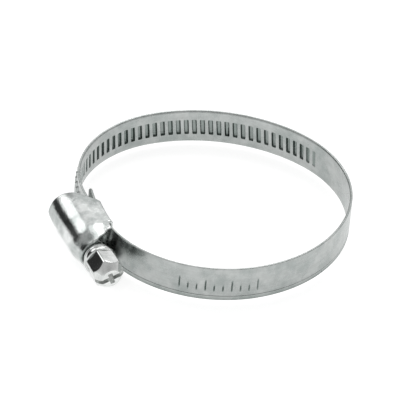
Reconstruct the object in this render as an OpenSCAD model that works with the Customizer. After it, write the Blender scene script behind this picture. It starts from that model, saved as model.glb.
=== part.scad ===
// Worm-drive hose clamp, drawn opened out to about its largest size.
// The clamp lies flat: +Z is the hose's own direction and the origin is the middle of the hose.
// The housing sits on the -Y side and the screw points along +X, head at the +X end.
// The band is one strip of steel. It is drawn as sections that hinge on each other, so that
// the loop can close as the screw draws the tail through the housing.

/* [Band] */
// Mean diameter of the loop's inner face
bore_d = 63; // [50:1:90]
// Width of the band
band_w = 9; // [8:0.5:12]
// Thickness of the band
band_t = 0.7; // [0.5:0.05:0.9]
// Length of the fixed end behind the place where it starts to bend
finger_len = 13.1; // [11:0.1:16]
// Radius of the slight bend in that end
finger_r = 60; // [50:1:90]
// Length of the straight tail behind the screw thread's front end
tail_len = 9.2; // [8:0.1:9.5]

/* [Pressed thread] */
// Distance from one pressed rib to the next, which is the screw's pitch
pitch = 2; // [1.8:0.1:2.2]
// Height of a rib over the band's outer face
rib_h = 0.5; // [0.35:0.05:0.5]
// Width of a rib along the band
rib_w = 0.9; // [0.7:0.05:0.9]
// Length of a rib across the band
rib_len = 4.3; // [3.5:0.1:4.8]
// Length of band that carries ribs, measured back from the tail section
thread_run = 84; // [40:1:84]

/* [Housing] */
// Place of the housing's middle along the screw's direction
seat_x = 2.35; // [0:0.05:5]
// Thickness of the housing's sheet
wall = 0.7; // [0.5:0.05:0.8]
// Outer radius of the dome over the screw
dome_r = 5; // [4.9:0.1:6]
// Length of the legs, where they hold the band
leg_len = 8.7; // [7:0.1:9]
// Length of the dome along its crest
crest_len = 21.3; // [18:0.1:22]
// How far the two folded feet stay apart
foot_gap = 3.6; // [2:0.1:5]

/* [Screw] */
// Outer diameter of the screw's thread
thread_d = 6.7; // [6:0.1:7.2]
// Diameter of the flange behind the hexagon
flange_d = 7.8; // [7:0.1:8.5]
// Size of the hexagon across its flats
hex_af = 7; // [6:0.1:7.5]
// Length of the hexagon
hex_len = 4.6; // [4:0.1:7]
// Width of the screwdriver slot
slot_w = 1.1; // [0.8:0.1:1.5]

/* [Fits] */
// Gap between the fixed end and the tail that slides over it
layer_gap = 0.1; // [0.05:0.05:0.2]
// Gap between the screw's thread and the band's outer face
mesh_gap = 0.15; // [0.1:0.05:0.25]
// Gap between the band's edges and the housing's legs
side_gap = 0.1; // [0.1:0.05:0.3]
// Gap between the screw's groove and its bearing
neck_gap = 0.08; // [0.05:0.01:0.1]
// Gap between the screw's neck and the ribs that pass under it
rib_gap = 0.2; // [0.15:0.05:0.3]

/* [Hidden] */
$fn = 96;
SECTIONS = 6;
zinc = [0.78, 0.8, 0.8];
bright_zinc = [0.86, 0.88, 0.88];

// ---- The loop: arcs that follow each other without a kink, each [radius, degrees turned].
// The first five radii are the loop's shape. The last two are solved, so that the band comes
// back parallel to the screw, one layer further out than the fixed end.
mean_r = bore_d / 2;
shape = [0.825, 0.921, 1.063, 0.905, 1.159];
turn = [30, 60, 60, 60, 60, 60, 30];
ARCS = len(turn);
tail_back = 10.1;               // how far behind the bend the straight tail section ends
layer = band_t + layer_gap;     // how far out the tail lies from the fixed end

function sum_to(list, n) = n <= 0 ? 0 : list[n - 1] + sum_to(list, n - 1);
function heading(n) = sum_to(turn, n);
function chord(i) = [
    sin(heading(i + 1)) - sin(heading(i)),
    cos(heading(i)) - cos(heading(i + 1))
];
function shape_sum(n) = n <= 0 ? [0, 0] : shape[n - 1] * mean_r * chord(n - 1) + shape_sum(n - 1);
function cross2(a, b) = a[0] * b[1] - a[1] * b[0];

missing = [-tail_back, -layer] - shape_sum(5);
r_sixth = cross2(missing, chord(6)) / cross2(chord(5), chord(6));
r_last = cross2(chord(5), missing) / cross2(chord(5), chord(6));
radius = concat(shape * mean_r, [r_sixth, r_last]);

function walk(n) = n <= 0 ? [0, 0] : walk(n - 1) + radius[n - 1] * chord(n - 1);
far_y = walk(3)[1] + radius[3] * (cos(heading(3)) + 1);
bend_x = -(walk(2)[0] + walk(5)[0]) / 2;
seat_v = far_y / 2;             // distance from the hose's middle to the fixed end's inner face
start = [bend_x, -seat_v];

function joint_point(n) = start + walk(n);
function centre(i) = joint_point(i) + radius[i] * [-sin(heading(i)), cos(heading(i))];

// ---- The drive: heights are distances from the screw's axis towards the hose
thread_r = thread_d / 2;
root_r = thread_r - rib_h - 0.25;
axis_to_tail = thread_r + mesh_gap;
neck_r = axis_to_tail - rib_h - rib_gap;
axis_v = seat_v + layer + band_t + axis_to_tail;
drive = [seat_x, -axis_v, 0];
tail_start_x = bend_x - tail_back;
lead = atan(pitch / (2 * PI * (thread_r - rib_h / 2)));
slot_z = -0.2;                  // the pressed thread lies a little below the band's middle
floor_y = axis_v - seat_v;      // the fixed end's inner face, seen from the axis
leg_in = band_w / 2 + side_gap;
leg_out = leg_in + wall;
leg_y = floor_y + wall;

// ---- Placing things on the band: u is the distance back from the tail section's rear end,
// along the middle of the band's thickness, and is negative on the tail itself.
function arc_len(i) = (radius[i] + band_t / 2) * turn[i] * PI / 180;
function back_len(i) = i >= ARCS - 1 ? 0 : arc_len(i + 1) + back_len(i + 1);

module on_arc(i, u) {
    angle = (u - back_len(i)) / (radius[i] + band_t / 2) * 180 / PI;
    translate(centre(i))
        rotate([0, 0, heading(i + 1) - 90 - angle])
            translate([radius[i] + band_t, 0, 0])
                children();
}

module on_tail(u) {
    translate([tail_start_x - u, -seat_v - layer - band_t, 0])
        rotate([0, 0, -90])
            children();
}

// ---- Pieces of strip
module strip_arc(i) {
    translate(centre(i))
        rotate([0, 0, heading(i) - 90])
            rotate_extrude(angle = turn[i])
                translate([radius[i], -band_w / 2])
                    square([band_t, band_w]);
}

module rib() {
    rotate([-lead, 0, 0])
        translate([-band_t / 2, -rib_w / 2, slot_z - rib_len / 2])
            cube([band_t / 2 + rib_h, rib_w, rib_len]);
}

module pocket() {
    pocket_w = rib_w - 0.35;
    pocket_len = rib_len - 0.5;
    rotate([-lead, 0, 0])
        translate([-band_t - 1, -pocket_w / 2, slot_z - pocket_len / 2])
            cube([1 + band_t + rib_h - 0.4, pocket_w, pocket_len]);
}

// Rib j stands half a pitch and j pitches behind the tail section. One that would cross the
// line between two sections is left out.
rib_half = rib_w / 2 + rib_len / 2 * tan(lead) + 0.1;
function rib_u(j) = (j + 0.5) * pitch;
function ribs_on(i) = [
    for (j = [0:floor(thread_run / pitch) - 1])
        if (rib_u(j) > back_len(i) + rib_half && rib_u(j) < back_len(i) + arc_len(i) - rib_half)
            rib_u(j)
];
tail_ribs = [for (j = [1:floor((tail_len - rib_half) / pitch)]) (0.5 - j) * pitch];

module section(i) {
    color(zinc)
        difference() {
            union() {
                strip_arc(i);
                for (u = ribs_on(i)) on_arc(i, u) rib();
            }
            for (u = ribs_on(i)) on_arc(i, u) pocket();
        }
}

// The fixed end's path from its free tip to its hinge, a distance out from the inner face
finger_turn = finger_len / finger_r * 180 / PI;
function fixed_path(out) = concat(
    [for (i = [8:-1:1])
        start + [0, finger_r] - (finger_r + out) * [sin(i * finger_turn / 8), cos(i * finger_turn / 8)]],
    [for (a = [0:2.5:turn[0]]) centre(0) + (radius[0] + out) * [sin(a), -cos(a)]]
);
function reversed(list) = [for (i = [len(list) - 1:-1:0]) list[i]];

module fixed_strip(from, to, z_low, z_high) {
    translate([0, 0, z_low])
        linear_extrude(z_high - z_low)
            polygon(concat(fixed_path(to), reversed(fixed_path(from))));
}

module band_fixed_end() {
    color(zinc) fixed_strip(0, band_t, -band_w / 2, band_w / 2);
}

module band_tail() {
    tip_r = 1.5;
    color(zinc)
        difference() {
            union() {
                translate([tail_start_x, -seat_v - layer - band_t, -band_w / 2])
                    cube([tail_len, band_t, band_w]);
                for (u = tail_ribs) on_tail(u) rib();
            }
            for (u = tail_ribs) on_tail(u) pocket();
            for (side = [-1, 1])
                translate([tail_start_x + tail_len, -seat_v - layer, side * band_w / 2])
                    rotate([90, 45, 0])
                        translate([-tip_r / 2, -tip_r / 2, -1])
                            cube([tip_r, tip_r, band_t + 2]);
        }
}

// ---- Housing
module along_x(from, length) {
    translate([from, 0, 0])
        rotate([90, 0, 90])
            linear_extrude(length)
                children();
}

// The arch's outline across the screw: a dome with two straight legs
module arch(r, half, bottom) {
    circle(r);
    polygon([[0, -r], [1.5, -half], [bottom, -half], [bottom, half], [1.5, half], [0, r]]);
}

// The side of the housing: short at the legs and long at the crest
crest_shift = -1.3;             // how far the crest's middle lies behind the legs' middle
crest_front = crest_len / 2 + crest_shift;
crest_rear = -crest_len / 2 + crest_shift;

module side_outline() {
    crest_y = -dome_r - 1;
    front = leg_len / 2;
    polygon([
        [-front, leg_y + 1],
        [front, leg_y + 1],
        [front, leg_y - 1.4],
        [front + 2.2, leg_y - 1.7],
        [crest_front - 0.5, 0],
        [crest_front, crest_y],
        [crest_rear, crest_y],
        [-front - 4.2, leg_y - 4.2],
        [-front, leg_y - 0.6]
    ]);
}

// Bearing plate inside the dome, open towards the band, that the neck's groove turns in
plate_x = crest_front - 1.85;
plate_t = 0.7;
groove_r = neck_r - 0.35;

module bearing() {
    intersection() {
        difference() {
            along_x(plate_x, plate_t) circle(dome_r - wall / 2);
            along_x(plate_x - 1, plate_t + 2) circle(groove_r + neck_gap);
        }
        translate([0, -dome_r, -dome_r]) cube([20, dome_r + 0.8, 2 * dome_r]);
    }
}

module housing() {
    color(bright_zinc)
        union() {
            translate(drive) {
                intersection() {
                    difference() {
                        along_x(-crest_len, 2 * crest_len) arch(dome_r, leg_out, leg_y);
                        along_x(-crest_len - 1, 2 * crest_len + 2)
                            arch(dome_r - wall, leg_in, leg_y + 1);
                    }
                    translate([0, 0, -20]) linear_extrude(40) side_outline();
                }
                bearing();
            }
            intersection() {
                union() {
                    fixed_strip(-wall, 0, -leg_out, -foot_gap / 2);
                    fixed_strip(-wall, 0, foot_gap / 2, leg_out);
                }
                translate(drive + [-leg_len / 2, 0, -20]) cube([leg_len, 20, 40]);
            }
        }
}

// ---- Screw: along +X from its axis
flank_w = 0.35;
crest_w = pitch - rib_w - 2 * flank_w;
STEPS = 24;
thread_turns = 3.5;
ROWS = 4 * thread_turns;
knot_x = [0, crest_w, crest_w + flank_w, pitch - flank_w];
knot_r = [thread_r, thread_r, root_r, root_r];
function row_x(i) = floor(i / 4) * pitch + knot_x[i % 4];
function row_r(i) = knot_r[i % 4];

// The thread meets the band with a crest halfway between two ribs
mesh_rib_x = tail_start_x + 2.5 * pitch - seat_x;
thread_x = mesh_rib_x - (pitch + crest_w) / 2;
thread_end = thread_x + (thread_turns + 1) * pitch;

module thread_barrel() {
    points = concat(
        [for (j = [0:STEPS - 1], i = [0:ROWS]) [
            thread_x + row_x(i) + pitch * j / STEPS,
            row_r(i) * cos(360 * j / STEPS),
            row_r(i) * sin(360 * j / STEPS)
        ]],
        [[thread_x + pitch / 2, 0, 0], [thread_end - pitch / 2, 0, 0]]
    );
    first = len(points) - 2;
    last = len(points) - 1;
    // Vertex of row i at step j; a full turn moves the row on by one pitch
    function at(j, i) = j < STEPS ? j * (ROWS + 1) + i : i + 4;
    sides = [
        for (j = [0:STEPS - 1], i = [0:(j < STEPS - 1 ? ROWS : ROWS - 4) - 1])
            each [
                [at(j, i), at(j, i + 1), at(j + 1, i + 1)],
                [at(j, i), at(j + 1, i + 1), at(j + 1, i)]
            ]
    ];
    rear = concat(
        [for (j = [0:STEPS - 1]) [first, at(j, 0), at(j + 1, 0)]],
        [for (i = [0:3]) [first, at(0, i + 1), at(0, i)]]
    );
    front = concat(
        [for (j = [0:STEPS - 2]) [last, at(j + 1, ROWS), at(j, ROWS)]],
        [[last, at(0, ROWS), at(STEPS - 1, ROWS - 4)]],
        [for (i = [ROWS - 4:ROWS - 1]) [last, at(STEPS - 1, i), at(STEPS - 1, i + 1)]]
    );
    polyhedron(points, concat(sides, rear, front));
}

end_play = 0.1;                 // how far the screw can move endways in its bearing
groove_x = plate_x - end_play;
collar_x = plate_x + plate_t + end_play;
flange_x = crest_front + 1.25;
hex_x = flange_x + 1.4;
end_len = 2;
end_r = 2.4;                    // radius of the head's flat end
head_turn = 18;                 // how far the hexagon is turned about the screw's axis

module head() {
    end_x = hex_x + hex_len;
    corner_r = hex_af / 2 + 0.25;
    rotate([head_turn, 0, 0]) difference() {
        union() {
            along_x(collar_x, hex_x - collar_x) circle(thread_r);
            along_x(flange_x, hex_x - flange_x) circle(flange_d / 2);
            intersection() {
                translate([hex_x, 0, 0])
                    rotate([0, 90, 0])
                        cylinder(h = hex_len + end_len, d = hex_af / cos(30), $fn = 6);
                union() {
                    along_x(hex_x, hex_len) circle(corner_r);
                    translate([end_x, 0, 0])
                        rotate([0, 90, 0])
                            cylinder(h = end_len, r1 = corner_r, r2 = end_r);
                }
            }
        }
        for (slot = [[90, 3 * hex_af], [0, 3]])
            translate([end_x, 0, 0])
                rotate([slot[0], 0, 0])
                    translate([0, -slot_w / 2, -slot[1] / 2])
                        cube([end_len + 1, slot_w, slot[1]]);
    }
}

module worm_screw() {
    core_r = root_r - 0.5;
    color(bright_zinc)
        translate(drive) {
            thread_barrel();
            along_x(thread_x - 0.5, collar_x - thread_x + 1) circle(core_r);
            along_x(groove_x - 0.5, collar_x - groove_x + 1) circle(groove_r);
            along_x(thread_end + 0.1, groove_x - thread_end - 0.1) circle(neck_r);
            head();
        }
}

housing();
band_fixed_end();
for (i = [1:SECTIONS])
    section(i);
band_tail();
worm_screw();
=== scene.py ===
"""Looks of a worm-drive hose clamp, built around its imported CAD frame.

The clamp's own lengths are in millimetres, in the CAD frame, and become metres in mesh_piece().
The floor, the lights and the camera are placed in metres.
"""
import math

import bmesh
import bpy
import numpy as np
from mathutils import Matrix, Vector


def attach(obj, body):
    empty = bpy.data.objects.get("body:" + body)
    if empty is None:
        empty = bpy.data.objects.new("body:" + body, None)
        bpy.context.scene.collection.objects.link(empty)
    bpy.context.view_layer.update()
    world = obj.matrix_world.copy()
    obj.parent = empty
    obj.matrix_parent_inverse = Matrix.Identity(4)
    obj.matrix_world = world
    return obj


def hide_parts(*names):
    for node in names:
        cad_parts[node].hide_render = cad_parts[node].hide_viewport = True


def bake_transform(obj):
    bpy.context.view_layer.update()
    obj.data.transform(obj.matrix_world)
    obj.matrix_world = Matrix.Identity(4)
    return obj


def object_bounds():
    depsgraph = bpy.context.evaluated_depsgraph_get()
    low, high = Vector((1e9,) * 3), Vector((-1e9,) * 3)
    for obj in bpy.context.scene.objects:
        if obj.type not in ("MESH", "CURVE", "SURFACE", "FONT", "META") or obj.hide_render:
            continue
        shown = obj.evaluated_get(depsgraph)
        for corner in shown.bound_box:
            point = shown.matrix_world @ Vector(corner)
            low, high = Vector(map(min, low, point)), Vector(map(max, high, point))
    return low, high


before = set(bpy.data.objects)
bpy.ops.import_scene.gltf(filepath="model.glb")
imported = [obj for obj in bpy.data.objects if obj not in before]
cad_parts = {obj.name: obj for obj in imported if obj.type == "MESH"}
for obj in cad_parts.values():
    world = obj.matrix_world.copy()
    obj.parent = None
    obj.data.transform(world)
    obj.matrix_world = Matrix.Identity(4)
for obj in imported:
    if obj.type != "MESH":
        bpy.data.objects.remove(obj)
CAD_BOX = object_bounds()
MM = 0.001

# ---- Band: the same loop of arcs as in the CAD model
MEAN_R = 31.5
SHAPE = (0.825, 0.921, 1.063, 0.905, 1.159)     # radii of the first five arcs, over the mean one
TURNS = np.radians((30, 60, 60, 60, 60, 60, 30))
BAND_T = 0.7
BAND_W = 9.0
TAIL_BACK = 10.1                                # how far before its own start the loop ends
TAIL_LEN = 9.2
LAYER = 0.8                                     # from the fixed end's inner face to the tail's
FINGER_LEN = 13.1                               # the fixed end, under the housing
FINGER_R = 60.0

# ---- Pressed thread
PITCH = 2.0
LEAN = math.tan(math.radians(5.9))
SLOT_Z = -0.2                                   # middle of the ribs, across the band
RIB_COUNT = 43
TAIL_RIBS = 4
RIB_H = 0.5
RIB_OUTLINE = (0.6, 2.25, 0.4)                  # half width, half length, corner radius
RIB_FLANK = (0.06, 0.36)                        # start outside that outline, and width inwards
POCKET_H = 0.8
POCKET_OUTLINE = (0.58, 2.1, 0.3)
POCKET_FLANK = (0.02, 0.22)

# ---- Stamped ticks
TICK_COUNT = 10
TICK_START = 24.6
TICK_GAP = 2.05
TICK_H = 0.22
LONG_TICK = 1.55                                # half lengths
SHORT_TICK = 0.95
TICK_HALF = 0.16                                # half width
TICK_CORNER = 0.15
TICK_FLANK = (0.08, 0.16)
TICK_DOWN = 0.55                                # from the band's middle down to the long ticks' middle

# ---- Drive
SEAT_X = 2.35                                   # middle of the housing
THREAD_R = 3.35
AXIS_OUT = 3.5                                  # from the band's outer face to the screw's axis
WALL = 0.7
DOME_R = 5.0
LEG_HALF = 4.35                                 # half the legs' length along the screw
LEG_OUT = 5.3                                   # their outer face, from the middle


def smooth(t):
    """0 up to t = 0, 1 from t = 1, and an even S between them."""
    t = np.clip(t, 0, 1)
    return t * t * (3 - 2 * t)


# ------------------------------------------------------------------ mesh helpers

def mesh_piece(name, verts, faces, sharp=35, uvs=None):
    """New object from points in millimetres; edges steeper than `sharp` degrees stay sharp."""
    mesh = bpy.data.meshes.new(name)
    mesh.from_pydata([tuple(MM * c for c in v) for v in verts], [], faces)
    if uvs is not None:
        layer = mesh.uv_layers.new(name="along")
        index = np.zeros(len(mesh.loops), int)
        mesh.loops.foreach_get("vertex_index", index)
        layer.data.foreach_set("uv", np.asarray(uvs)[index].ravel())
    bm = bmesh.new()
    bm.from_mesh(mesh)
    bmesh.ops.recalc_face_normals(bm, faces=bm.faces)
    bm.to_mesh(mesh)
    bm.free()
    mesh.polygons.foreach_set("use_smooth", [True] * len(mesh.polygons))
    mesh.set_sharp_from_angle(angle=math.radians(sharp))
    piece = bpy.data.objects.new(name, mesh)
    bpy.context.scene.collection.objects.link(piece)
    return piece


def side_faces(rings, around):
    """Faces between `rings` closed rings of `around` points each."""
    faces = []
    for i in range(rings - 1):
        here, there = i * around, (i + 1) * around
        for k in range(around):
            after = (k + 1) % around
            faces.append((here + k, here + after, there + after, there + k))
    return faces


def cap_faces(start, around):
    """Strips that close a ring whose points start at `start`, joining those that face each other."""
    half = around // 2
    faces = [(start + k, start + k + 1, start + around - 2 - k, start + around - 1 - k)
             for k in range(half - 1)]
    if around % 2:
        faces.append((start + half - 1, start + half, start + half + 1))
    return faces


def tube_faces(rings, around):
    """Faces of a tube that is closed at both ends."""
    ends = cap_faces(0, around) + cap_faces((rings - 1) * around, around)
    return side_faces(rings, around) + ends


# ------------------------------------------------------------------ the band's path

def solve_radii():
    """Radii, headings and hinge points of the loop's arcs; the last two radii make the loop close."""
    ends = np.concatenate([[0], np.cumsum(TURNS)])
    chords = np.stack([np.sin(ends[1:]) - np.sin(ends[:-1]), np.cos(ends[:-1]) - np.cos(ends[1:])], 1)
    radii = np.array(SHAPE) * MEAN_R
    missing = np.array([-TAIL_BACK, -LAYER]) - radii @ chords[:5]
    radii = np.concatenate([radii, np.linalg.solve(chords[5:].T, missing)])
    joints = np.concatenate([[[0, 0]], np.cumsum(radii[:, None] * chords, 0)])
    far_y = joints[3, 1] + radii[3] * (math.cos(ends[3]) + 1)
    origin = np.array([-(joints[2, 0] + joints[5, 0]) / 2, -far_y / 2])
    return radii, ends, joints + origin


RADII, HEADS, JOINTS = solve_radii()
SEAT_V = -JOINTS[0, 1]
SPANS = (RADII + BAND_T / 2) * TURNS
STARTS = np.concatenate([[0], np.cumsum(SPANS)])
LOOP_END = STARTS[-1]
TIP = LOOP_END + TAIL_LEN


def on_path(s, out):
    """Point at distance s along the band and `out` from its inner face, away from the hose."""
    if s < 0:
        a = s / FINGER_R
        r = FINGER_R + out
        return JOINTS[0, 0] + r * math.sin(a), JOINTS[0, 1] + FINGER_R - r * math.cos(a)
    if s > LOOP_END:
        return JOINTS[7, 0] + s - LOOP_END, JOINTS[7, 1] - out
    i = min(int(np.searchsorted(STARTS, s, side="right")) - 1, 6)
    a = HEADS[i] + (s - STARTS[i]) / (RADII[i] + BAND_T / 2)
    cx = JOINTS[i, 0] - RADII[i] * math.sin(HEADS[i])
    cy = JOINTS[i, 1] + RADII[i] * math.cos(HEADS[i])
    return cx + (RADII[i] + out) * math.sin(a), cy - (RADII[i] + out) * math.cos(a)


# ------------------------------------------------------------------ the band's surface

RIBS = [LOOP_END - (j + 0.5) * PITCH for j in range(-TAIL_RIBS, RIB_COUNT)]
RIB_STEPS = (0.2, 0.35, 0.43, 0.5, 0.56, 0.62, 0.7)
RIB_OFFSETS = (-PITCH / 2, *(-d for d in reversed(RIB_STEPS)), 0.0, *RIB_STEPS)
FADED = {RIB_COUNT - 1: 0.3, RIB_COUNT - 2: 0.65}      # the last ribs are pressed less deeply
TICKS = [TICK_START + TICK_GAP * n for n in range(TICK_COUNT)]
TICK_OFFSETS = (-0.34, -0.24, -0.16, 0.0, 0.16, 0.24, 0.34)
END_CORNER = 1.6
PLAIN_STEP = 0.9


def columns():
    """Places along the band where its cross-section is drawn, close together at ribs and ticks."""
    thread_from = RIBS[-1] - PITCH / 2
    corner = [END_CORNER * (1 - math.cos(a)) for a in np.linspace(0, math.pi / 2, 7)]
    finger = [-FINGER_LEN + c for c in corner]
    finger += list(np.arange(finger[-1] + PLAIN_STEP, 0.1, PLAIN_STEP))
    plain = list(np.arange(PLAIN_STEP, thread_from - 0.4, PLAIN_STEP))
    plain = [s for s in plain if min(abs(s - t) for t in TICKS) > 0.6]
    ticked = [t + d for t in TICKS for d in TICK_OFFSETS]
    thread = [r + d for r in RIBS for d in RIB_OFFSETS]
    tip = [TIP - c for c in reversed(corner)]
    between = list(np.linspace(max(thread), tip[0], 4)[1:-1])
    return np.array(sorted(finger + plain + ticked + thread + between + tip))


def box_distance(along, across, half_along, half_across, corner):
    """Signed distance to the outline of a rectangle with rounded corners."""
    a = abs(along) - half_along + corner
    b = abs(across) - half_across + corner
    return math.hypot(max(a, 0), max(b, 0)) + min(max(a, b), 0) - corner


def nearest_rib(s, z):
    """Distance along the band to the nearest rib, and how deeply that rib is pressed."""
    sheared = s - LEAN * (z - SLOT_Z)
    j = int(round((RIBS[0] - sheared) / PITCH))
    j = min(max(j, 0), len(RIBS) - 1)
    strength = FADED.get(j - TAIL_RIBS, 1.0)
    return sheared - RIBS[j], strength


def eased(distance, start, flank):
    """0 from `start` upwards, 1 below start - flank, and eased between them."""
    return float(smooth((start - distance) / flank))


def rib_height(s, z):
    d, strength = nearest_rib(s, z)
    distance = box_distance(d, z - SLOT_Z, *RIB_OUTLINE)
    return RIB_H * strength * eased(distance, *RIB_FLANK)


def pocket_depth(s, z):
    d, strength = nearest_rib(s, z)
    distance = box_distance(d, z - SLOT_Z, *POCKET_OUTLINE)
    return POCKET_H * strength * eased(distance, *POCKET_FLANK)


def tick_depth(s, z):
    """Ticks are level at their lower ends, and every third one is long."""
    n = min(range(TICK_COUNT), key=lambda i: abs(s - TICKS[i]))
    half = LONG_TICK if n % 3 == 0 else SHORT_TICK
    above = z + TICK_DOWN + LONG_TICK - half
    distance = box_distance(s - TICKS[n], above, TICK_HALF, half, TICK_CORNER)
    return TICK_H * eased(distance, *TICK_FLANK)


CREASE_Z = -3.3
CREASE_H = 0.12
ROLL_H = 0.1


def edge_roll(z):
    """The lower edge leans inwards below a fine crease, as a slit and rolled strip does."""
    crease = CREASE_H * max(1 - abs(z - CREASE_Z) / 0.1, 0)
    return crease + ROLL_H * eased(z, CREASE_Z, 0.9)


def half_width(s):
    """Half the band's width: its two ends have rounded corners."""
    gap = min(s + FINGER_LEN, TIP - s)
    if gap >= END_CORNER:
        return BAND_W / 2
    inset = END_CORNER - math.sqrt(max(END_CORNER ** 2 - (END_CORNER - gap) ** 2, 0))
    return BAND_W / 2 - inset


FACE_Z = (4.28, 4.0, 3.55, 3.0, 2.6, 2.34, 2.22, 2.12, 2.02, 1.9, 1.76, 1.6, 1.3, 0.8, 0.3,
          -0.2, -0.7, -1.2, -1.7, -2.0, -2.16, -2.3, -2.42, -2.52, -2.62, -2.74, -3.0, -3.2, -3.25, -3.3,
          -3.35, -3.4, -3.6, -3.9, -4.28)
EDGE_ARC = ((4.36, 0.012), (4.43, 0.05), (4.48, 0.12), (4.5, 0.22), (4.485, 0.34), (4.43, 0.47),
            (4.33, 0.58), (4.18, 0.65), (3.98, 0.69))


def section_rows():
    """Rows round the cross-section: (z, depth below the outer face, face name)."""
    outer = [(z, 0.0, "outer") for z in reversed(FACE_Z)]
    inner = [(z, BAND_T, "inner") for z in FACE_Z if abs(z) < 3.95]
    top = [(z, depth, "edge") for z, depth in EDGE_ARC]
    bottom = [(-z, depth, "edge") for z, depth in reversed(EDGE_ARC)]
    return outer + top + inner + bottom


ROWS = section_rows()
LEAN_FADE = 1.2                # the drawn sections turn to the ribs' lean over this length
THREAD_START = RIBS[-1] - LEAN_FADE


def band_point(s, row):
    """Point, texture coordinate and height above the inner face, of one row at distance s."""
    z, depth, face = row
    z_here = z * half_width(s) / (BAND_W / 2)
    leaning = smooth((s - THREAD_START) / LEAN_FADE) * smooth((TIP - s - 0.6) / LEAN_FADE)
    here = s + LEAN * (z - SLOT_Z) * float(leaning)
    out = BAND_T - depth
    if face == "outer":
        out += rib_height(here, z) if here > THREAD_START else -tick_depth(here, z)
        out -= edge_roll(z)
    elif face == "inner" and here > THREAD_START:
        out += pocket_depth(here, z)
    x, y = on_path(here, out)
    return (x, y, z_here), (here * MM, z * MM), out


MARK_DEPTH = 0.55              # a mark this deep is shaded as much as a full pocket


def pressed_in(out, row):
    """How deep a point lies in a pocket, a stamped mark or the lower edge's crease and rolled strip,
    from 0 to 1, or below 0 on a rib; it sets the painted shade.
    """
    if row[2] == "inner":
        return min(max(out, 0) / POCKET_H, 1.0)
    if row[2] == "outer":
        return min(max((BAND_T - out) / MARK_DEPTH, -1.0), 1.0)
    return 0.0


def band_piece(name, places):
    verts, uvs, shade = [], [], []
    for s in places:
        for row in ROWS:
            point, uv, out = band_point(s, row)
            verts.append(point)
            uvs.append(uv)
            shade.append(pressed_in(out, row))
    piece = mesh_piece(name, verts, tube_faces(len(places), len(ROWS)), sharp=62, uvs=uvs)
    layer = piece.data.attributes.new("pressed", "FLOAT", "POINT")
    layer.data.foreach_set("value", shade)
    return piece


def build_band(material):
    """One strip, cut halfway along each section, so that each piece spans one hinge."""
    places = columns()
    middles = [(STARTS[i] + STARTS[i + 1]) / 2 for i in range(1, 7)]
    cuts = [-FINGER_LEN] + middles + [TIP]
    for i in range(7):
        low, high = (int(np.argmin(abs(places - c))) for c in cuts[i:i + 2])
        piece = band_piece(f"band_strip_{i + 1}", places[low:high + 1])
        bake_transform(piece)
        piece.data.materials.append(material)
        nodes = ["band_fixed_end"] if i == 0 else [f"band_section_{i}"]
        if i == 6:
            nodes.append("band_tail")
        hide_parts(*nodes)


# ------------------------------------------------------------------ housing
# Here x runs from the housing's middle to its front, and y from the screw's axis to the hose.

AXIS_V = SEAT_V + LAYER + BAND_T + AXIS_OUT
FLOOR_Y = AXIS_V - SEAT_V


def sag(x):
    """How far the fixed end's inner face curves off the housing, at x from the housing's middle."""
    d = x + SEAT_X - JOINTS[0, 0]
    r = FINGER_R if d < 0 else RADII[0]
    return r - math.sqrt(r * r - d * d)


FOLD_R = 0.95                  # outer radius of the fold between a leg and its foot
FOOT_GAP = 1.8                 # half the gap between the two feet
FLANK_Y = (4.6, 4.5, 4.42, 4.35, 4.28, 4.2, 4.1, 3.9, 3.6, 3.2, 2.8, 2.4, 2.0)
DOME_FOOT = 1.6                # y where the dome's curve starts
DOME_SWELL = 0.55              # part of the way up in which the flank widens from dome to legs
SQUARENESS = 0.84              # 1 makes the dome round, and less makes it squarer


def dome_point(a):
    """Point and normal of the dome's section, from the flank at a = 0 to the top at a = 1."""
    across = max(math.cos(a * math.pi / 2), 0) ** SQUARENESS
    out = math.sin(a * math.pi / 2) ** SQUARENESS
    swell = (LEG_OUT - DOME_R) * eased(a, DOME_SWELL, DOME_SWELL)
    tilt = math.atan2(out ** 1.5, across ** 1.5)
    y = DOME_FOOT * (1 - a) - DOME_R * out
    return (y, (DOME_R + swell) * across, -math.sin(tilt), math.cos(tilt))


def profile():
    """Outer side of the housing's sheet, from foot to foot: (y, z, normal y, normal z)."""
    foot_y = FLOOR_Y + WALL
    leg_z = LEG_OUT - FOLD_R
    half = [(foot_y, z, 1, 0) for z in np.linspace(FOOT_GAP, leg_z, 5)]
    for a in np.linspace(0, math.pi / 2, 7)[1:]:
        c, s = math.cos(a), math.sin(a)
        half.append((foot_y - FOLD_R + FOLD_R * c, leg_z + FOLD_R * s, c, s))
    half += [(y, LEG_OUT, 0, 1) for y in FLANK_Y]
    half += [dome_point(a) for a in np.linspace(0.02, 1, 27)]
    other = [(y, -z, ny, -nz) for y, z, ny, nz in reversed(half[:-1])]
    return half + other


# Side outline of the housing: its rear and front limits, as (y, x)
REAR = ((-6.0, -9.9), (-3.5, -10.35), (-1.5, -10.2), (1.5, -8.9), (5.1, -LEG_HALF), (9, -LEG_HALF))
FRONT = ((-6.0, 9.4), (0.0, 8.9), (4.12, 6.6), (4.32, 4.9), (4.42, LEG_HALF), (9, LEG_HALF))


def limit(outline, y):
    """x of an outline at a given y."""
    return float(np.interp(y, [p[0] for p in outline], [p[1] for p in outline]))


FRONT_TAPER = 0.17
FRONT_START = LEG_HALF + 0.1
FRONT_RUN = 4.8
REAR_TAPER = 0.05
REAR_START = 7.0
REAR_RUN = 4.5
FREE_Y = 3.3                   # from this y towards the hose nothing is drawn in, to clear the band
FREE_RUN = 0.9


def drawn_in(x, y):
    """Scale of the dome's section: its ends are drawn in, with a crease where the front starts."""
    t = (x - FRONT_START) / FRONT_RUN
    creased = min(max(y + 1.5, 0) / 3.5, 1)
    front = FRONT_TAPER * (creased * min(max(t, 0), 1) + (1 - creased) * float(smooth(t)))
    rear = REAR_TAPER * float(smooth((-x - REAR_START) / REAR_RUN))
    return 1 - front - rear


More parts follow.
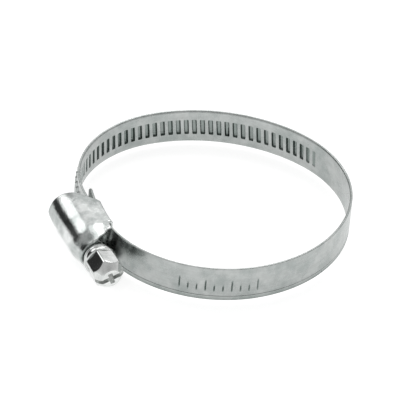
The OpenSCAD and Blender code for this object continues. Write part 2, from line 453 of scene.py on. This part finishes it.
def housing_point(k, w, depth, rim):
    """Point of the sheet: k from profile(), w from rear to front, depth in from the outer side."""
    y, z, ny, nz = k
    start, stop = limit(REAR, y), limit(FRONT, y)
    x = start + (stop - start) * w
    inset = rim - math.sqrt(max(rim * rim - max(rim - min(x - start, stop - x), 0) ** 2, 0))
    depth = depth + inset if depth < WALL / 2 else depth - inset
    scale = 1 - (1 - drawn_in(x, y)) * eased(y, FREE_Y, FREE_RUN)
    y_here = (y - ny * depth) * (scale if y < 2 else 1)
    y_here += sag(x) * float(smooth((y - 3.5) / 1.5))
    return (x + SEAT_X, y_here - AXIS_V, (z - nz * depth) * scale)


HOUSING_LEN = 21.0
RIM_R = 0.22                   # rounding of the sheet's cut ends


def build_housing(material):
    around = profile()
    ends = np.array([0, 0.03, 0.08, 0.15, 0.24, 0.5]) / HOUSING_LEN
    places = np.concatenate([ends, np.linspace(0.05, 0.95, 37), 1 - ends[::-1]])
    verts = []
    for w in places:
        verts += [housing_point(k, w, 0.0, RIM_R) for k in around]
        verts += [housing_point(k, w, WALL, RIM_R) for k in reversed(around)]
    piece = mesh_piece("housing_shell", verts, tube_faces(len(places), 2 * len(around)), sharp=40)
    return finish_piece(piece, material, "housing_and_fixed_end")


def finish_piece(piece, material, body):
    piece.data.materials.append(material)
    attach(piece, body)
    return piece


PLATE_X = 7.5
PLATE_R = 4.0
PLATE_REACH = math.radians(100)
GROOVE_R = 2.45
GROOVE_GAP = 0.08


def build_bearing(material):
    """Part of a ring, inside the housing, that the screw's groove turns in."""
    verts = []
    steps = 25
    inner = GROOVE_R + GROOVE_GAP
    for a in np.linspace(-PLATE_REACH, PLATE_REACH, steps):
        for r, x in ((inner, 0), (PLATE_R, 0), (PLATE_R, WALL), (inner, WALL)):
            verts.append((SEAT_X + PLATE_X + x, -AXIS_V - r * math.cos(a), r * math.sin(a)))
    piece = mesh_piece("housing_bearing", verts, tube_faces(steps, 4))
    return finish_piece(piece, material, "housing_and_fixed_end")


# ------------------------------------------------------------------ screw

THREAD_X = -4.39
THREAD_END = 4.61
HEX_X = 12.0
HEX_LEN = 4.6
END_LEN = 2.0
END_R = 2.4
HEX_FLAT = 3.5                 # middle to flat
HEX_CORNER = 3.92              # middle to corner, with the corners taken off
CROWN_R = 3.75
HEAD_TURN = math.radians(18)
THREAD_H = 0.75
THREAD_PHASE = 0.1             # part of a turn; crests meet the band halfway between two ribs
THREAD_FADE = 0.8


def thread_radius(x, angle):
    """Radius of the threaded part: a round-topped ridge that fades out at both ends."""
    turn = ((x - THREAD_X) / PITCH - angle / (2 * math.pi)) % 1.0
    off_crest = abs((turn - THREAD_PHASE + 0.5) % 1.0 - 0.5) * PITCH
    fade = float(smooth((x - THREAD_X) / THREAD_FADE) * smooth((THREAD_END - x) / THREAD_FADE))
    return THREAD_R - THREAD_H + THREAD_H * eased(off_crest, 0.62, 0.45) * fade


def hex_radius(angle):
    """Radius of the hexagon, as turned at rest."""
    off_flat = (angle - HEAD_TURN + math.pi / 6) % (math.pi / 3) - math.pi / 6
    return min(HEX_FLAT / math.cos(off_flat), HEX_CORNER)


# Turned part between the thread and the hexagon, with neck, collar and flange: (x, radius)
SCREW_PROFILE = (
    (THREAD_END + 0.12, 2.8), (7.28, 2.8), (7.38, 2.7), (7.4, GROOVE_R), (8.28, GROOVE_R), (8.32, 3.2),
    (8.45, 3.35), (9.5, 3.35), (9.62, 3.22), (9.75, 3.35), (9.95, 3.35), (10.07, 3.22), (10.2, 3.35),
    (10.45, 3.35), (10.55, 3.4), (10.6, 3.65), (10.7, 3.85), (10.85, 3.9), (11.7, 3.9), (11.88, 3.82),
    (11.98, 3.62))


HEX_STOP = HEX_X + HEX_LEN
# Rings of the hexagon: x, and how much smaller it is there
HEX_RINGS = (
    (HEX_X, 0.16), (HEX_X + 0.12, 0.03), (HEX_X + 0.3, 0), (HEX_STOP - 0.5, 0), (HEX_STOP - 0.1, 0))
CROWN_STEPS = (0.04, 0.1, 0.2, 0.3, 0.4, 0.5, 0.6, 0.7, 0.8, 0.88, 0.95, 0.99, 1.0)
TIP_ROUND = 0.12
SCREW_STEPS = 144
SCREW_SHARP = 28


def screw_rings():
    """Rings of the screw: (x, radius at each of its angles)."""
    angles = [k * 2 * math.pi / SCREW_STEPS for k in range(SCREW_STEPS)]
    hexagon = [hex_radius(a) for a in angles]
    thread = np.arange(THREAD_X, THREAD_END + 0.01, 0.12)
    rings = [(x, [thread_radius(x, a) for a in angles]) for x in thread]
    rings += [(x, [r] * SCREW_STEPS) for x, r in SCREW_PROFILE]
    rings += [(x, [r - cut for r in hexagon]) for x, cut in HEX_RINGS]
    for t in CROWN_STEPS:
        crown = END_R + (CROWN_R - END_R) * (1 - t ** 1.25) - TIP_ROUND * float(smooth((t - 0.9) / 0.1))
        rings.append((HEX_STOP + END_LEN * t, [min(r, crown) for r in hexagon]))
    return angles, rings


def build_screw(material):
    angles, rings = screw_rings()
    verts = [(SEAT_X + x, -AXIS_V + r * math.cos(a), r * math.sin(a))
             for x, radii in rings for a, r in zip(angles, radii)]
    faces = side_faces(len(rings), SCREW_STEPS)
    for i in (0, len(rings) - 1):
        start = i * SCREW_STEPS
        middle = len(verts)
        verts.append((SEAT_X + rings[i][0], -AXIS_V, 0))
        faces += [(start + k, start + (k + 1) % SCREW_STEPS, middle) for k in range(SCREW_STEPS)]
    piece = mesh_piece("screw_body", verts, faces, sharp=SCREW_SHARP)
    cut_slots(piece)
    return finish_piece(piece, material, "worm_screw")


def box_verts(low, high):
    return [(x, y, z) for x in (low[0], high[0]) for y in (low[1], high[1]) for z in (low[2], high[2])]


BOX_FACES = ((0, 1, 3, 2), (4, 6, 7, 5), (0, 4, 5, 1), (2, 3, 7, 6), (0, 2, 6, 4), (1, 5, 7, 3))
SLOT_HALF = 0.55
SLOT_DEPTH = 2.0
CROSS_REACH = 1.5              # half length of the cross recess
PAST_HEAD = 5.0                # the slot runs right across the head


def cut_slots(piece):
    """Cuts the screwdriver slot and the shorter cross recess into the head's end."""
    end_x = SEAT_X + HEX_STOP + END_LEN
    turn = Matrix.Rotation(HEAD_TURN, 3, "X")
    for i, (half_y, half_z) in enumerate(((PAST_HEAD, SLOT_HALF), (SLOT_HALF, CROSS_REACH))):
        corners = box_verts((end_x - SLOT_DEPTH, -half_y, -half_z), (end_x + 1, half_y, half_z))
        corners = [turn @ Vector(c) - Vector((0, AXIS_V, 0)) for c in corners]
        cutter = mesh_piece(f"slot_cutter_{i}", corners, BOX_FACES)
        modifier = piece.modifiers.new("slot", "BOOLEAN")
        modifier.operation = "DIFFERENCE"
        modifier.solver = "EXACT"
        modifier.object = cutter
        graph = bpy.context.evaluated_depsgraph_get()
        cut = bpy.data.meshes.new_from_object(piece.evaluated_get(graph))
        piece.modifiers.clear()
        piece.data = cut
        bpy.data.objects.remove(cutter)
    piece.data.polygons.foreach_set("use_smooth", [True] * len(piece.data.polygons))
    piece.data.set_sharp_from_angle(angle=math.radians(SCREW_SHARP))


# ------------------------------------------------------------------ materials

def new_material(name):
    material = bpy.data.materials.new(name)
    material.use_nodes = True
    nodes = material.node_tree.nodes
    shader = nodes["Principled BSDF"]
    shader.inputs["Metallic"].default_value = 1.0
    return material, nodes, material.node_tree.links, shader


def noise(nodes, links, vector, scale, detail=4.0, rough=0.55):
    node = nodes.new("ShaderNodeTexNoise")
    node.inputs["Scale"].default_value = scale
    node.inputs["Detail"].default_value = detail
    node.inputs["Roughness"].default_value = rough
    links.new(vector, node.inputs["Vector"])
    return node.outputs["Fac"]


def stretched(nodes, links, vector, scale):
    node = nodes.new("ShaderNodeMapping")
    node.inputs["Scale"].default_value = scale
    links.new(vector, node.inputs["Vector"])
    return node.outputs["Vector"]


def ramp(nodes, links, value, stops):
    """Colour ramp: each stop is a place and a grey level, or a place and a colour."""
    node = nodes.new("ShaderNodeValToRGB")
    elements = node.color_ramp.elements
    for n, (place, colour) in enumerate(stops):
        element = elements[n] if n < 2 else elements.new(place)
        element.position = place
        element.color = (*colour, 1) if isinstance(colour, tuple) else (colour, colour, colour, 1)
    links.new(value, node.inputs["Fac"])
    return node.outputs["Color"]


# Places of the colour sockets on a mix node: its factor, its two colours, and its result
MIX_FACTOR, MIX_A, MIX_B, MIX_RESULT = 0, 6, 7, 2


def mix_colour(nodes, links, amount, a, b, mode="MIX"):
    """Mixes two colours; each input is another node's output or a constant."""
    node = nodes.new("ShaderNodeMix")
    node.data_type = "RGBA"
    node.blend_type = mode
    for value, place in ((amount, MIX_FACTOR), (a, MIX_A), (b, MIX_B)):
        if hasattr(value, "is_linked"):
            links.new(value, node.inputs[place])
        else:
            node.inputs[place].default_value = value
    return node.outputs[MIX_RESULT]


def bump(nodes, links, height, strength, distance, normal=None):
    node = nodes.new("ShaderNodeBump")
    node.inputs["Strength"].default_value = strength
    node.inputs["Distance"].default_value = distance
    links.new(height, node.inputs["Height"])
    if normal is not None:
        links.new(normal, node.inputs["Normal"])
    return node.outputs["Normal"]


# Noise scales: about how many features there are per metre
CLOUD_SCALE = 190.0
BLOTCH_SCALE = 620.0
GRAIN_SCALE = 2600.0
LINE_DEPTH = 0.00003           # depths of the bumps, in metres
GRAIN_DEPTH = 0.00003
DENT_DEPTH = 0.00006
# painted shade: the colour that pockets, stamped marks and the lower edge's crease are darkened towards
POCKET_SHADE_COLOUR = (0.13, 0.17, 0.155, 1)


def shade_pockets(nodes, links, colour):
    """Painted shade: darkens pockets, stamped marks and the lower edge's crease and rolled strip, most
    of all on their walls.
    """
    attribute = nodes.new("ShaderNodeAttribute")
    attribute.attribute_name = "pressed"
    depth = ramp(nodes, links, attribute.outputs["Fac"], ((0.0, 0.0), (0.35, 0.75), (1.0, 0.5)))
    return mix_colour(nodes, links, depth, colour, POCKET_SHADE_COLOUR)


def zinc(name, dark, light, rough, coordinate, streak, dents, grit, pressed=False):
    """Zinc-plated steel: cloudy patches, fine grain, small dents, and drawing lines along the sheet."""
    material, nodes, links, shader = new_material(name)
    vector = nodes.new("ShaderNodeTexCoord").outputs[coordinate]
    clouds = noise(nodes, links, vector, CLOUD_SCALE, 5.0)
    blotches = noise(nodes, links, vector, BLOTCH_SCALE, 3.0, 0.6)
    lines = noise(nodes, links, stretched(nodes, links, vector, streak), 1.0, 3.0, 0.7)
    grain = noise(nodes, links, vector, GRAIN_SCALE, 2.0)

    colour = ramp(nodes, links, clouds, ((0.36, dark), (0.62, light)))
    stains = ramp(nodes, links, blotches, ((0.3, 0.62), (0.66, 1.0)))
    colour = mix_colour(nodes, links, 0.35, colour, stains, "MULTIPLY")
    scratches = ramp(nodes, links, lines, ((0.32, 0.7), (0.62, 1.0)))
    colour = mix_colour(nodes, links, 0.25, colour, scratches, "MULTIPLY")
    # painted shade in the pockets, the stamped marks and the lower edge's crease
    if pressed:
        colour = shade_pockets(nodes, links, colour)
    links.new(colour, shader.inputs["Base Color"])

    roughness = ramp(nodes, links, clouds, ((0.3, rough * 0.75), (0.7, rough * 1.3)))
    links.new(roughness, shader.inputs["Roughness"])
    normal = bump(nodes, links, lines, 0.35, LINE_DEPTH)
    normal = bump(nodes, links, grain, grit, GRAIN_DEPTH, normal)
    normal = bump(nodes, links, blotches, dents, DENT_DEPTH, normal)
    links.new(normal, shader.inputs["Normal"])
    return material


# ------------------------------------------------------------------ stage

FLOOR_HALF = 2.5
FLOOR_GREY = 0.6
FLOOR_GLOW = 0.72              # the floor glows a little, so that it comes out as an even white


def build_floor(height):
    mesh = bpy.data.meshes.new("floor")
    signs = ((-1, -1), (1, -1), (1, 1), (-1, 1))
    corners = [(x * FLOOR_HALF, y * FLOOR_HALF, height) for x, y in signs]
    mesh.from_pydata(corners, [], [(0, 1, 2, 3)])
    floor = bpy.data.objects.new("floor", mesh)
    bpy.context.scene.collection.objects.link(floor)
    material = bpy.data.materials.new("plain_floor")
    material.use_nodes = True
    shader = material.node_tree.nodes["Principled BSDF"]
    shader.inputs["Base Color"].default_value = (FLOOR_GREY, FLOOR_GREY, FLOOR_GREY, 1)
    shader.inputs["Roughness"].default_value = 0.8
    shader.inputs["Specular IOR Level"].default_value = 0.0
    shader.inputs["Emission Color"].default_value = (1, 1, 1, 1)
    shader.inputs["Emission Strength"].default_value = FLOOR_GLOW
    mesh.materials.append(material)


# Sky: height on a unit ball round the clamp, from the horizon up, and brightness
SKY = ((0.0, 0.95), (0.3, 0.7), (0.55, 0.55), (1.0, 0.5))
# One dark card and three soft boxes: direction, cosines of the outer and inner edge, brightness
CARDS = (
    ((-0.73, -0.64, 0.24), 0.875, 0.935, 0.04),
    ((-0.73, -0.34, 0.6), 0.966, 0.984, 2.0),
    ((-0.73, 0.47, 0.48), 0.93, 0.975, 0.95),
    ((-0.5, 0.1, 0.85), 0.95, 0.975, 1.7))


def build_world():
    """Pale soft room with the cards in it."""
    world = bpy.data.worlds.new("soft_room")
    bpy.context.scene.world = world
    world.use_nodes = True
    nodes, links = world.node_tree.nodes, world.node_tree.links
    vector = nodes.new("ShaderNodeTexCoord").outputs["Generated"]
    parts = nodes.new("ShaderNodeSeparateXYZ")
    links.new(vector, parts.inputs[0])
    colour = ramp(nodes, links, parts.outputs["Z"], SKY)
    for direction, edge, core, light in CARDS:
        dot = nodes.new("ShaderNodeVectorMath")
        dot.operation = "DOT_PRODUCT"
        links.new(vector, dot.inputs[0])
        dot.inputs[1].default_value = Vector(direction).normalized()
        spot = ramp(nodes, links, dot.outputs["Value"], ((edge, 0.0), (core, 1.0)))
        colour = mix_colour(nodes, links, spot, colour, (light, light, light, 1))
    links.new(colour, nodes["Background"].inputs["Color"])
    nodes["Background"].inputs["Strength"].default_value = 1.0


KEY_PLACE = (-0.33, 0.25, 0.56)
KEY_SIZE = 0.24
KEY_WATTS = 0.55


def build_key_light():
    """One area light, aimed at the middle of the clamp."""
    data = bpy.data.lights.new("key", "AREA")
    data.size = KEY_SIZE
    data.energy = KEY_WATTS
    lamp = bpy.data.objects.new("key", data)
    lamp.location = KEY_PLACE
    lamp.rotation_mode = "QUATERNION"
    lamp.rotation_quaternion = Vector(KEY_PLACE).to_track_quat("Z", "Y")
    bpy.context.scene.collection.objects.link(lamp)


CAMERA_DISTANCE = 1.0
CAMERA_TURN = math.radians(64.5)
CAMERA_DROP = math.radians(36.0)
CAMERA_ROLL = math.radians(5.18)
VIEW_SHIFT = (-4.13, 0.25)     # right and up in the picture, in millimetres
RING_OFFSET = -0.4             # the loop's middle in y, in millimetres
VIEW_WIDTH = 0.09506
SENSOR = 36.0


def build_camera():
    """Camera at a set distance, looking down at the middle of the loop, with a slight roll."""
    right = Vector((math.cos(CAMERA_TURN), math.sin(CAMERA_TURN), 0))
    level = Vector((-math.sin(CAMERA_TURN), math.cos(CAMERA_TURN), 0))
    ahead = level * math.cos(CAMERA_DROP) - Vector((0, 0, math.sin(CAMERA_DROP)))
    up = right.cross(ahead)
    c, s = math.cos(CAMERA_ROLL), math.sin(CAMERA_ROLL)
    right, up = right * c + up * s, up * c - right * s
    centre = right * VIEW_SHIFT[0] * MM + up * VIEW_SHIFT[1] * MM + Vector((0, RING_OFFSET * MM, 0))
    data = bpy.data.cameras.new("camera")
    data.sensor_width = SENSOR
    data.lens = SENSOR * CAMERA_DISTANCE / VIEW_WIDTH
    data.clip_start = 0.05
    data.clip_end = 10.0
    camera = bpy.data.objects.new("camera", data)
    bpy.context.scene.collection.objects.link(camera)
    axes = Matrix((right, up, -ahead)).transposed().to_4x4()
    camera.matrix_world = Matrix.Translation(centre - ahead * CAMERA_DISTANCE) @ axes
    bpy.context.scene.camera = camera


# ------------------------------------------------------------------ the scene

def main():
    band = zinc("band_zinc", dark=(0.38, 0.41, 0.4), light=(0.5, 0.52, 0.51), rough=0.27,
                coordinate="UV", streak=(60, 2600, 1), dents=0.12, grit=0.25, pressed=True)
    sheet = zinc("housing_zinc", dark=(0.42, 0.45, 0.44), light=(0.78, 0.8, 0.79), rough=0.18,
                 coordinate="Object", streak=(90, 2200, 2200), dents=0.6, grit=0.8)
    bright = zinc("screw_zinc", dark=(0.6, 0.62, 0.61), light=(0.86, 0.87, 0.86), rough=0.14,
                  coordinate="Object", streak=(2400, 160, 160), dents=0.3, grit=0.3)
    build_band(band)
    shell = build_housing(sheet)
    build_bearing(sheet)
    screw = build_screw(bright)
    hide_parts("housing")
    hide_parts("worm_screw")
    build_floor(CAD_BOX[0][2])
    build_world()
    build_key_light()
    build_camera()
    bpy.context.scene.view_settings.view_transform = "Standard"


main()
